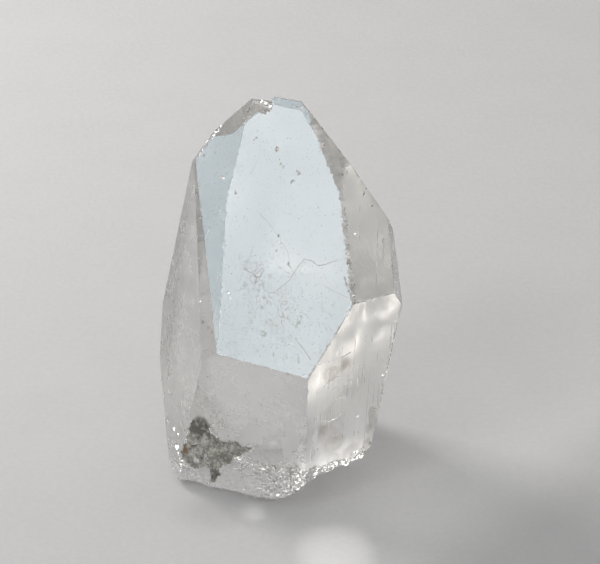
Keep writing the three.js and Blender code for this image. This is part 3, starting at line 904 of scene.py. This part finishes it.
def filmReach(x, z):  # how far inside the skin's ragged outline a place lies, in millimetres
    outline = rockFilm["outline"]
    inside, nearest = False, 99
    for (x0, z0), (x1, z1) in zip(outline, outline[1:] + outline[:1]):
        if (z0 > z) != (z1 > z) and x < (x1 - x0) * (z - z0) / (z1 - z0) + x0:
            inside = not inside
        along = ((x - x0) * (x1 - x0) + (z - z0) * (z1 - z0)) / ((x1 - x0) ** 2 + (z1 - z0) ** 2)
        along = min(1, max(0, along))
        nearest = min(nearest, math.hypot(x - x0 - along * (x1 - x0), z - z0 - along * (z1 - z0)))
    reach = nearest if inside else -nearest
    for centreX, centreZ, radius in rockFilm["windows"]:
        reach = min(reach, math.hypot(x - centreX, z - centreZ) - radius)
    return reach


def makeFilm():
    xs, zs = zip(*rockFilm["outline"])
    left, right, low, high = min(xs) - 0.4, max(xs) + 0.4, min(zs) - 0.4, max(zs) + 0.4
    deselectAll()
    bpy.ops.mesh.primitive_grid_add(x_subdivisions=round((right - left) / rockFilm["cell"]),
                                    y_subdivisions=round((high - low) / rockFilm["cell"]), size=2)
    film = named("rock_film")
    facet = facets["frontPrism"]
    normal = normalOf(facet)
    reaches = []

    def shape(co):
        x, z = left + (right - left) * (co.x + 1) / 2, low + (high - low) * (co.y + 1) / 2
        place = Vector((x, 0, z))
        ragged = rockFilm["ragged"] * (noise.noise(place * 1.9) + 0.7 * noise.noise(place * 4.7))
        reaches.append(filmReach(x, z) + ragged)
        heap = sum(tall * max(0, 1 - math.hypot(x - heapX, z - heapZ) / wide)
                   for heapX, heapZ, wide, tall in rockFilm["heaps"])
        rise = 0.1 + heap * 0.8 + 0.13 * noise.noise(place * 2.3) + 0.1 * noise.noise(place * 6)
        return onFacet(facet, x, z) + normal * rise * mm

    moveVertices(film, shape)
    pick(film)
    bpy.ops.object.mode_set(mode="EDIT")
    bpy.ops.mesh.select_mode(type="FACE")
    bpy.ops.mesh.select_all(action="DESELECT")
    bpy.ops.object.mode_set(mode="OBJECT")
    for face in film.data.polygons:
        face.select = min(reaches[index] for index in face.vertices) < 0
    bpy.ops.object.mode_set(mode="EDIT")
    bpy.ops.mesh.delete(type="FACE")
    bpy.ops.object.mode_set(mode="OBJECT")
    applyModifier(film, "Solidify", "SOLIDIFY", thickness=rockFilm["sunk"] * 2 * mm, offset=-1)
    if (film.data.polygons[0].normal).dot(normal) < 0:
        pick(film)
        bpy.ops.object.mode_set(mode="EDIT")
        bpy.ops.mesh.select_all(action="SELECT")
        bpy.ops.mesh.normals_make_consistent(inside=False)
        bpy.ops.object.mode_set(mode="OBJECT")
    return film


def addFilm(crust):
    film = makeFilm()
    deselectAll()
    film.select_set(True)
    crust.select_set(True)
    bpy.context.view_layer.objects.active = crust
    bpy.ops.object.join()
    return crust


roughCrust = addFilm(makeCrust())
print("stage: crust made,", len(roughCrust.data.polygons), "faces")


def newMaterial(name):
    material = bpy.data.materials.new(name)
    material.use_nodes = True
    tree = material.node_tree
    return material, tree, tree.nodes["Principled BSDF"], tree.nodes["Material Output"]


def put(tree, kind, values=None, **settings):  # a node with its settings and its unlinked inputs
    node = tree.nodes.new(kind)
    for key, value in settings.items():
        setattr(node, key, value)
    for key, value in (values or {}).items():
        if isinstance(value, bpy.types.NodeSocket):
            tree.links.new(value, node.inputs[key])
        else:
            node.inputs[key].default_value = value
    return node


def sums(tree, operation, first, second, clamp=False):
    node = put(tree, "ShaderNodeMath", {0: first, 1: second}, operation=operation, use_clamp=clamp)
    return node.outputs[0]


def times(tree, first, second, clamp=False):
    return sums(tree, "MULTIPLY", first, second, clamp)


def larger(tree, first, second):
    return sums(tree, "MAXIMUM", first, second)


def measured(tree, operation, first, second):  # the distance or the dot product of two vectors
    node = put(tree, "ShaderNodeVectorMath", {0: first, 1: second}, operation=operation)
    return node.outputs["Value"]


def cloudy(tree, place, scale, detail, distortion=0.0):
    values = {"Vector": place, "Scale": scale, "Detail": detail, "Distortion": distortion}
    return put(tree, "ShaderNodeTexNoise", values).outputs[0]


def ramp(tree, value, low, high, start=0.0, end=1.0):
    values = {"Value": value, "From Min": low, "From Max": high, "To Min": start, "To Max": end}
    return put(tree, "ShaderNodeMapRange", values, interpolation_type="SMOOTHSTEP").outputs["Result"]


def addBump(tree, shader, height, strength, distance):
    bump = put(tree, "ShaderNodeBump", {"Height": height, "Strength": strength, "Distance": distance})
    tree.links.new(bump.outputs["Normal"], shader.inputs["Normal"])


def blendColour(tree, share, first, second):
    node = tree.nodes.new("ShaderNodeMix")
    node.data_type = "RGBA"
    for socket, value in ((node.inputs["Factor"], share), (node.inputs[6], first), (node.inputs[7], second)):
        if isinstance(value, bpy.types.NodeSocket):
            tree.links.new(value, socket)
        else:
            socket.default_value = value if isinstance(value, (int, float)) else (*value, 1)
    return node.outputs[2]


def newGroup(name, inputs, result):  # each input has a starting value, or None where it is a place
    group = bpy.data.node_groups.new(name, "ShaderNodeTree")
    for label, value in inputs.items():
        kind = "NodeSocketVector" if value is None else "NodeSocketFloat"
        socket = group.interface.new_socket(label, in_out="INPUT", socket_type=kind)
        if value is not None:
            socket.default_value = value
    group.interface.new_socket(result, in_out="OUTPUT", socket_type="NodeSocketFloat")
    return group, group.nodes.new("NodeGroupInput"), group.nodes.new("NodeGroupOutput")


def useGroup(tree, group, **values):
    return put(tree, "ShaderNodeGroup", values, node_tree=group).outputs[0]


def makeStreakGroup():  # fine upright lines, as between growth steps
    inputs = {"Position": None, "Fineness": 900.0, "Stretch": 0.05}
    group, start, end = newGroup("growthStreaks", inputs, "Height")
    place, across = start.outputs["Position"], start.outputs["Fineness"]
    along = times(group, across, start.outputs["Stretch"])
    scale = put(group, "ShaderNodeCombineXYZ", {"X": across, "Y": across, "Z": along}).outputs[0]
    spot = put(group, "ShaderNodeVectorMath", {0: place, 1: scale}, operation="MULTIPLY").outputs[0]
    broad = cloudy(group, spot, 1.0, 3.0)
    fine = cloudy(group, spot, 4.3, 2.0)
    group.links.new(sums(group, "ADD", broad, times(group, fine, 0.4)), end.inputs["Height"])
    return group


def makeSpeckGroup():  # small round spots strewn at random
    inputs = {"Position": None, "Density": 900.0, "Size": 0.25, "Share": 0.3}
    group, start, end = newGroup("strewnSpecks", inputs, "Mask")
    place, density = start.outputs["Position"], start.outputs["Density"]
    cells = put(group, "ShaderNodeTexVoronoi", {"Vector": place, "Scale": density})
    tone = put(group, "ShaderNodeSeparateColor", {"Color": cells.outputs["Color"]})
    kept = sums(group, "LESS_THAN", tone.outputs[0], start.outputs["Share"])
    size = times(group, start.outputs["Size"], sums(group, "ADD", 0.4, tone.outputs[1]))
    spot = ramp(group, cells.outputs["Distance"], size, times(group, size, 0.5))
    group.links.new(times(group, kept, spot), end.inputs["Mask"])
    return group


def makePatchGroup():  # a ragged patch round a place
    inputs = {"Position": None, "Centre": None, "Reach": 0.002, "Soft": 0.5, "Ragged": 0.5, "Grain": 700.0}
    group, start, end = newGroup("raggedPatch", inputs, "Mask")
    place = start.outputs["Position"]
    away = measured(group, "DISTANCE", place, start.outputs["Centre"])
    share = sums(group, "DIVIDE", away, start.outputs["Reach"])
    wobble = sums(group, "SUBTRACT", cloudy(group, place, start.outputs["Grain"], 4.0), 0.5)
    shifted = sums(group, "ADD", share, times(group, wobble, start.outputs["Ragged"]))
    inner = sums(group, "SUBTRACT", 1.0, start.outputs["Soft"])
    group.links.new(ramp(group, shifted, 1.0, inner), end.inputs["Mask"])
    return group


def makeSquiggleGroup():  # thin curling lines
    group, start, end = newGroup("curlingLines", {"Position": None, "Fineness": 500.0, "Width": 0.02}, "Mask")
    field = cloudy(group, start.outputs["Position"], start.outputs["Fineness"], 2.5, 0.8)
    away = sums(group, "ABSOLUTE", sums(group, "SUBTRACT", field, 0.5), 0.0)
    group.links.new(ramp(group, away, start.outputs["Width"], 0.0), end.inputs["Mask"])
    return group


streakGroup = makeStreakGroup()
speckGroup = makeSpeckGroup()
patchGroup = makePatchGroup()
squiggleGroup = makeSquiggleGroup()


def patchAt(tree, position, facet, x, z, reach, soft, ragged):
    return useGroup(tree, patchGroup, Position=position, Centre=onFacet(facets[facet], x, z),
                    Reach=reach * mm, Soft=soft, Ragged=ragged)


quartzFinish = {
    "tint": (0.985, 0.985, 0.985),
    "stain": (0.45, 0.38, 0.35),
    "speck": (0.84, 0.83, 0.82),
    "absorbColour": (0.86, 0.865, 0.86),
    "absorbDensity": 18,
    "dirtAndShadeColour": (0.4, 0.37, 0.33),
    "stainRoughness": 0.6,
    "transmission": 0.95,
    "index": 1.544,
    "flashIndex": 2.8,
    "flashRoughness": 0.05,
    "cloud": ("frontPoint", -4.1, 39.3, 3.6, 0.9, 0.8),  # facet, place, height, reach, softness, raggedness
    "lowCloud": ("frontPoint", -0.8, 34.5, 6.5, 0.95, 0.9),
    "curls": (480, 0.035),  # fineness, width
    "wideCurls": (300, 0.02),
    "specks": (2500, 0.26, 0.4),  # density, size, share
    "dust": (800, 0.12, 0.2),
    "streaks": (1500, 0.035),  # fineness, stretch
    "grain": 1200,
    "uneven": 260,
    "dirtAndShadeGrain": 420,
    "relief": (0.5, 0.00004),  # strength, height (m)
    "dirtAndShadeSpots": [  # facet, left-right place, height, reach, strength; the spots on the right prism face are painted shade, the rest are dark specks, a brown flaw and the brown notch
        ("rightPrism", 15.6, 15.8, 1.0, 0.9), ("rightPrism", 15.2, 12.6, 1.4, 1.0),
        ("rightPrism", 14.7, 9.8, 1.8, 1.0), ("rightPrism", 14.5, 7.6, 1.8, 1.0),
        ("rightPrism", 8.4, 26.2, 2.1, 0.9), ("rightPrism", 10.6, 27.0, 2.0, 0.9),
        ("rightPrism", 9.0, 12.6, 3.0, 0.95), ("rightPrism", 6.9, 15.6, 2.2, 0.9),
        ("rightPrism", 11.8, 9.4, 2.8, 0.8), ("rightPrism", 8.6, 9.4, 2.6, 0.7),
        ("leftPoint", -13.05, 31.3, 0.45, 1.2), ("leftPoint", -12.1, 30.9, 0.45, 1.2),
        ("leftPoint", -11.5, 30.5, 0.35, 1.2), ("frontPoint", -3.3, 62.8, 1.2, 0.6),
        ("frontPoint", 10.85, 40.3, 0.5, 0.6), ("frontPoint", 11.4, 39.4, 0.5, 0.6),
    ],
}


def curlsOf(tree, position, fineness, width):
    return useGroup(tree, squiggleGroup, Position=position, Fineness=fineness, Width=width)


def specksOf(tree, position, density, size, share):
    return useGroup(tree, speckGroup, Position=position, Density=density, Size=size, Share=share)


def makeQuartzMaterial():
    finish = quartzFinish
    material, tree, shader, output = newMaterial("clearQuartz")
    position = put(tree, "ShaderNodeTexCoord").outputs["Object"]
    finishNode = put(tree, "ShaderNodeAttribute", attribute_name="finish")
    faceValues = put(tree, "ShaderNodeSeparateColor", {"Color": finishNode.outputs["Color"]})
    faceRough, faceStreaks, faceGrain = faceValues.outputs[0], faceValues.outputs[1], faceValues.outputs[2]
    onPoint = sums(tree, "GREATER_THAN", finishNode.outputs["Alpha"], 0.9)

    cloud = patchAt(tree, position, *finish["cloud"])
    lowCloud = patchAt(tree, position, *finish["lowCloud"])
    stained = times(tree, cloud, curlsOf(tree, position, *finish["curls"]))
    scrawled = times(tree, times(tree, lowCloud, curlsOf(tree, position, *finish["wideCurls"])), 0.7)
    specks = specksOf(tree, position, *finish["specks"])
    dust = specksOf(tree, position, *finish["dust"])
    marks = times(tree, larger(tree, stained, scrawled), onPoint)
    dots = times(tree, larger(tree, specks, dust), 0.6)
    colour = blendColour(tree, marks, finish["tint"], finish["stain"])
    colour = blendColour(tree, dots, colour, finish["speck"])
    # each face's dirt and painted shade, read from its attribute
    dirtAndShadeNode = put(tree, "ShaderNodeAttribute", attribute_name="dirtAndShade")
    patchy = cloudy(tree, position, finish["dirtAndShadeGrain"], 5.0)
    dirtAndShade = dirtAndShadeNode.outputs["Fac"]
    # spots of painted shade on the right prism face, and real specks and flaws elsewhere
    for facet, x, z, reach, strength in finish["dirtAndShadeSpots"]:
        away = measured(tree, "DISTANCE", position, onFacet(facets[facet], x, z))
        wobble = times(tree, sums(tree, "SUBTRACT", patchy, 0.5), 2.2 * reach * mm)
        ragged = sums(tree, "ADD", away, wobble)
        spot = ramp(tree, ragged, reach * mm, 0.4 * reach * mm, 0.0, strength)
        dirtAndShade = larger(tree, dirtAndShade, spot)
    dirtAndShade = times(tree, dirtAndShade, ramp(tree, patchy, 0.3, 0.7, 0.5, 1.2), clamp=True)
    # a darker colour for dirt, which is also painted shade on the dark break, the left faces and the right
    # prism's spots
    colour = blendColour(tree, dirtAndShade, colour, finish["dirtAndShadeColour"])
    tree.links.new(colour, shader.inputs["Base Color"])

    uneven = cloudy(tree, position, finish["uneven"], 4.0)
    rough = times(tree, faceRough, ramp(tree, uneven, 0.3, 0.75, 0.55, 1.5))
    rough = larger(tree, rough, times(tree, larger(tree, marks, dots), finish["stainRoughness"]))
    tree.links.new(rough, shader.inputs["Roughness"])

    fineness, stretch = finish["streaks"]
    streaks = useGroup(tree, streakGroup, Position=position, Fineness=fineness, Stretch=stretch)
    grain = cloudy(tree, position, finish["grain"], 4.0)
    height = sums(tree, "ADD", times(tree, streaks, faceStreaks), times(tree, grain, faceGrain))
    height = sums(tree, "SUBTRACT", height, times(tree, larger(tree, marks, dots), 0.3))
    addBump(tree, shader, height, *finish["relief"])

    flashes = times(tree, sums(tree, "LESS_THAN", faceRough, 0.06),
                   sums(tree, "LESS_THAN", finishNode.outputs["Alpha"], 0.05))
    tree.links.new(flashes, shader.inputs["Coat Weight"])
    shader.inputs["Coat IOR"].default_value = finish["flashIndex"]
    shader.inputs["Coat Roughness"].default_value = finish["flashRoughness"]
    shader.inputs["IOR"].default_value = finish["index"]
    shader.inputs["Transmission Weight"].default_value = finish["transmission"]
    absorb = put(tree, "ShaderNodeVolumeAbsorption",
                 {"Color": (*finish["absorbColour"], 1), "Density": finish["absorbDensity"]})
    tree.links.new(absorb.outputs["Volume"], output.inputs["Volume"])
    return material


rockFinish = {
    "dark": (0.175, 0.172, 0.145),
    "middle": (0.37, 0.355, 0.32),
    "pale": (0.62, 0.6, 0.55),
    "window": (0.66, 0.65, 0.61),
    "rust": (0.27, 0.19, 0.13),
    "grain": 1400,
    "veins": (620, 0.055),  # fineness, width
    "relief": (0.8, 0.0002),  # strength, height (m)
    "darkSpots": [  # left-right place, height, reach, depth of tone
        (-14.22, 12.9, 2.3, 1.0), (-9.83, 8.04, 1.5, 0.55), (-11.0, 4.4, 1.6, 0.8),
        (-12.2, 11.6, 0.8, 0.8), (-11.2, 10.4, 0.7, 0.6),
    ],
    "rustSpot": (-16.4, 7.9, 1.1),
}


def makeRockMaterial():
    finish = rockFinish
    material, tree, shader, output = newMaterial("darkRock")
    position = put(tree, "ShaderNodeTexCoord").outputs["Object"]
    grains = cloudy(tree, position, finish["grain"], 5.0)
    colour = blendColour(tree, ramp(tree, grains, 0.42, 0.6), finish["middle"], finish["pale"])
    for x, z, reach, depth in finish["darkSpots"]:
        spot = patchAt(tree, position, "frontPrism", x, z, reach, 0.5, 1.1)
        speckled = times(tree, spot, ramp(tree, grains, 0.66, 0.5, 0.35 * depth, depth))
        colour = blendColour(tree, speckled, colour, finish["dark"])
    for x, z, reach in rockFilm["windows"]:
        spot = patchAt(tree, position, "frontPrism", x, z, reach + 0.3, 0.3, 0.6)
        colour = blendColour(tree, times(tree, spot, 0.9), colour, finish["window"])
    veins = curlsOf(tree, position, *finish["veins"])
    colour = blendColour(tree, times(tree, veins, 0.7), colour, finish["dark"])
    rust = patchAt(tree, position, "frontPrism", *finish["rustSpot"], 0.6, 1.0)
    colour = blendColour(tree, rust, colour, finish["rust"])
    tree.links.new(colour, shader.inputs["Base Color"])
    rough = ramp(tree, grains, 0.3, 0.7, 0.6, 0.95)
    tree.links.new(rough, shader.inputs["Roughness"])
    addBump(tree, shader, grains, *finish["relief"])
    return material


clearCrystal.data.materials.clear()
clearCrystal.data.materials.append(makeQuartzMaterial())
roughCrust.data.materials.append(makeRockMaterial())
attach(clearCrystal, "root")
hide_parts("crystal")
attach(roughCrust, "root")
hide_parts("rock_crust")
print("stage: materials and rides set")


studio = {
    "aim": (0, 0, 30),
    "lightBounces": 40,
    "floorSize": 6,  # (m)
    "floorDrop": 0.05,
    "floorColour": (0.72, 0.717, 0.719),
    "paperGrain": 900,
    "paperClouds": 60,
    "paperRelief": (0.4, 0.0003),  # strength, height (m)
    "paintedCornerShade": (0.8, -0.6, 33, 52, 0.82),  # painted shade, darker toward the front right: direction, from and to along it, share of the tone left at the end
    "paintedContactShadow": (-11, -19, 8.5, 0.87),  # painted contact shadow near the left front of the crystal: place, reach, share of the tone left there
    "worldColour": (0.505, 0.495, 0.49),
    "worldSides": [  # bearing, height above the level, half width, share of the world's colour there
        (-63, 35, 28, (0.07, 0.08, 0.09)),
        (-34, 38, 14, (4.5, 4.35, 4.1)),
        (11, 13, 22, (1.08, 1.06, 1.02)),
        (168, 5, 16, (0.42, 0.42, 0.42)),
        (-18, 66, 14, (1.2, 1.18, 1.14)),
        (-134, 23, 14, (0.45, 0.45, 0.45)),
    ],
    "lights": {  # bearing, rise above the level, distance and size (m), power (W), colour, rays that miss it
        "coolBox": (-48, 40, 0.9, 0.2, 0.58, (0.74, 1.01, 1.16), ("transmission",)),
        "warmKey": (-129, 33, 0.48, 0.2, 1.05, (1, 0.97, 0.94), ()),
        "warmSide": (84, 30, 0.9, 0.34, 1.9, (1, 0.95, 0.88), ("transmission", "diffuse")),
    },
    "glowColour": (1, 0.97, 0.93),
    "glowOffset": (0.02, -0.22, 0.22),  # from the place to the lamp (m)
    "glowSoftness": 0.0005,
    "glows": {  # spot lamps for the bright patches on the paper: place, radius, power
        "frontGlow": (9.5, -32.5, 8, 1.6),
        "nearGlow": (-4.2, -19.2, 1.3, 0.9),
    },
    "cards": {  # small cards behind and under the crystal, seen only through it: place, size, power, colour
        "backCard": (-27, 32, 0.4, 22, 24, 0.0076, (1, 0.94, 0.86)),
        "behindCard": (3.5, 29, 0.4, 13, 22, 0.000048, (1, 0.99, 0.97)),
        "underCard": (-5.5, -9.5, -0.02, 17, 8, 0.00074, (1, 0.95, 0.88)),
    },
}


def makePaperMaterial():
    material, tree, shader, output = newMaterial("palePaper")
    position = put(tree, "ShaderNodeTexCoord").outputs["Object"]
    grain = cloudy(tree, position, studio["paperGrain"], 6.0)
    clouds = cloudy(tree, position, studio["paperClouds"], 3.0)
    mottleAndPaintedShade = ramp(tree, grain, 0.3, 0.7, 0.965, 1.0)
    mottleAndPaintedShade = sums(tree, "ADD", mottleAndPaintedShade, ramp(tree, clouds, 0.3, 0.7, -0.01, 0.01))
    # painted shade: the paper darkens toward its front right corner
    dirX, dirY, begin, end, left = studio["paintedCornerShade"]
    along = measured(tree, "DOT_PRODUCT", position, (dirX, dirY, 0))
    mottleAndPaintedShade = times(tree, mottleAndPaintedShade, ramp(tree, along, begin * mm, end * mm, 1.0, left))
    # painted contact shadow: the paper darkens round a place by the crystal's left front
    x, y, reach, left = studio["paintedContactShadow"]
    away = measured(tree, "DISTANCE", position, Vector((x, y, 0)) * mm)
    mottleAndPaintedShade = times(tree, mottleAndPaintedShade, ramp(tree, away, 0.1 * reach * mm, reach * mm, left, 1.0))
    pale = blendColour(tree, mottleAndPaintedShade, (0, 0, 0), studio["floorColour"])
    tree.links.new(pale, shader.inputs["Base Color"])
    tree.links.new(ramp(tree, grain, 0.3, 0.7, 0.8, 0.95), shader.inputs["Roughness"])
    addBump(tree, shader, grain, *studio["paperRelief"])
    return material


def makeFloor():
    deselectAll()
    bpy.ops.mesh.primitive_plane_add(size=studio["floorSize"], location=(0, 0, -studio["floorDrop"] * mm))
    floor = named("paper_sweep")
    floor.data.materials.append(makePaperMaterial())


def aimOf(bearing, rise):
    return normalOf((bearing, rise, 0))


def makeWorld():  # a grey room with some sides darker and some brighter
    world = bpy.data.worlds.new("studioAir")
    world.use_nodes = True
    tree = world.node_tree
    direction = put(tree, "ShaderNodeTexCoord").outputs["Generated"]
    colour = put(tree, "ShaderNodeRGB").outputs[0]
    colour.default_value = (*studio["worldColour"], 1)
    for bearing, rise, width, share in studio["worldSides"]:
        near = measured(tree, "DOT_PRODUCT", direction, aimOf(bearing, rise))
        rim, core = math.cos(math.radians(width)), math.cos(math.radians(0.4 * width))
        mask = ramp(tree, near, rim, core)
        side = [a * b for a, b in zip(share, studio["worldColour"])]
        colour = blendColour(tree, mask, colour, side)
    tree.links.new(colour, tree.nodes["Background"].inputs["Color"])
    bpy.context.scene.world = world


def addLamp(name, location, size, power, colour, misses):
    deselectAll()
    bpy.ops.object.light_add(type="AREA", location=location)
    lamp = bpy.context.object
    lamp.name = name
    lamp.data.shape = "RECTANGLE"
    lamp.data.size, lamp.data.size_y = size
    lamp.data.energy = power
    lamp.data.color = colour
    for ray in misses:
        setattr(lamp, f"visible_{ray}", False)
    return lamp


def makeLights():
    target = Vector(studio["aim"]) * mm
    for name, (bearing, rise, distance, size, power, colour, misses) in studio["lights"].items():
        aim = aimOf(bearing, rise)
        lamp = addLamp(name, target + aim * distance, (size, size), power, colour, misses)
        lamp.rotation_euler = (-aim).to_track_quat("-Z", "Y").to_euler()
    for name, (x, y, z, wide, deep, power, colour) in studio["cards"].items():
        misses = ("camera", "diffuse", "glossy", "shadow")
        card = addLamp(name, Vector((x, y, z)) * mm, (wide * mm, deep * mm), power, colour, misses)
        card.rotation_euler = (math.pi, 0, 0)
    for name, (x, y, radius, power) in studio["glows"].items():
        spot, away = Vector((x, y, 0)) * mm, Vector(studio["glowOffset"])
        deselectAll()
        bpy.ops.object.light_add(type="SPOT", location=spot + away)
        glow = bpy.context.object
        glow.name = name
        glow.rotation_euler = (-away).to_track_quat("-Z", "Y").to_euler()
        glow.data.energy = power
        glow.data.color = studio["glowColour"]
        glow.data.spot_size = 2 * math.atan(radius * mm / away.length)
        glow.data.spot_blend = 1
        glow.data.shadow_soft_size = studio["glowSoftness"]
        glow.visible_transmission = False
        glow.visible_glossy = False


def makeCamera():
    rise = math.radians(camera["rise"])
    look = Vector((0, math.cos(rise), -math.sin(rise)))
    deselectAll()
    place = (Vector(camera["target"]) + axisShift - look * camera["distance"]) * mm
    bpy.ops.object.camera_add(location=place)
    eye = bpy.context.object
    eye.rotation_euler = look.to_track_quat("-Z", "Y").to_euler()
    eye.data.lens = camera["lens"]
    eye.data.sensor_width = camera["sensor"]
    eye.data.clip_start = camera["nearest"]
    bpy.context.scene.camera = eye


def setLightPaths():  # light may pass through and bounce inside the crystal many times
    scene = bpy.context.scene
    scene.view_settings.view_transform = "Standard"
    scene.cycles.max_bounces = studio["lightBounces"]
    scene.cycles.transmission_bounces = studio["lightBounces"]
    scene.cycles.glossy_bounces = studio["lightBounces"]


makeFloor()
makeWorld()
makeLights()
makeCamera()
setLightPaths()
print("stage: studio set")
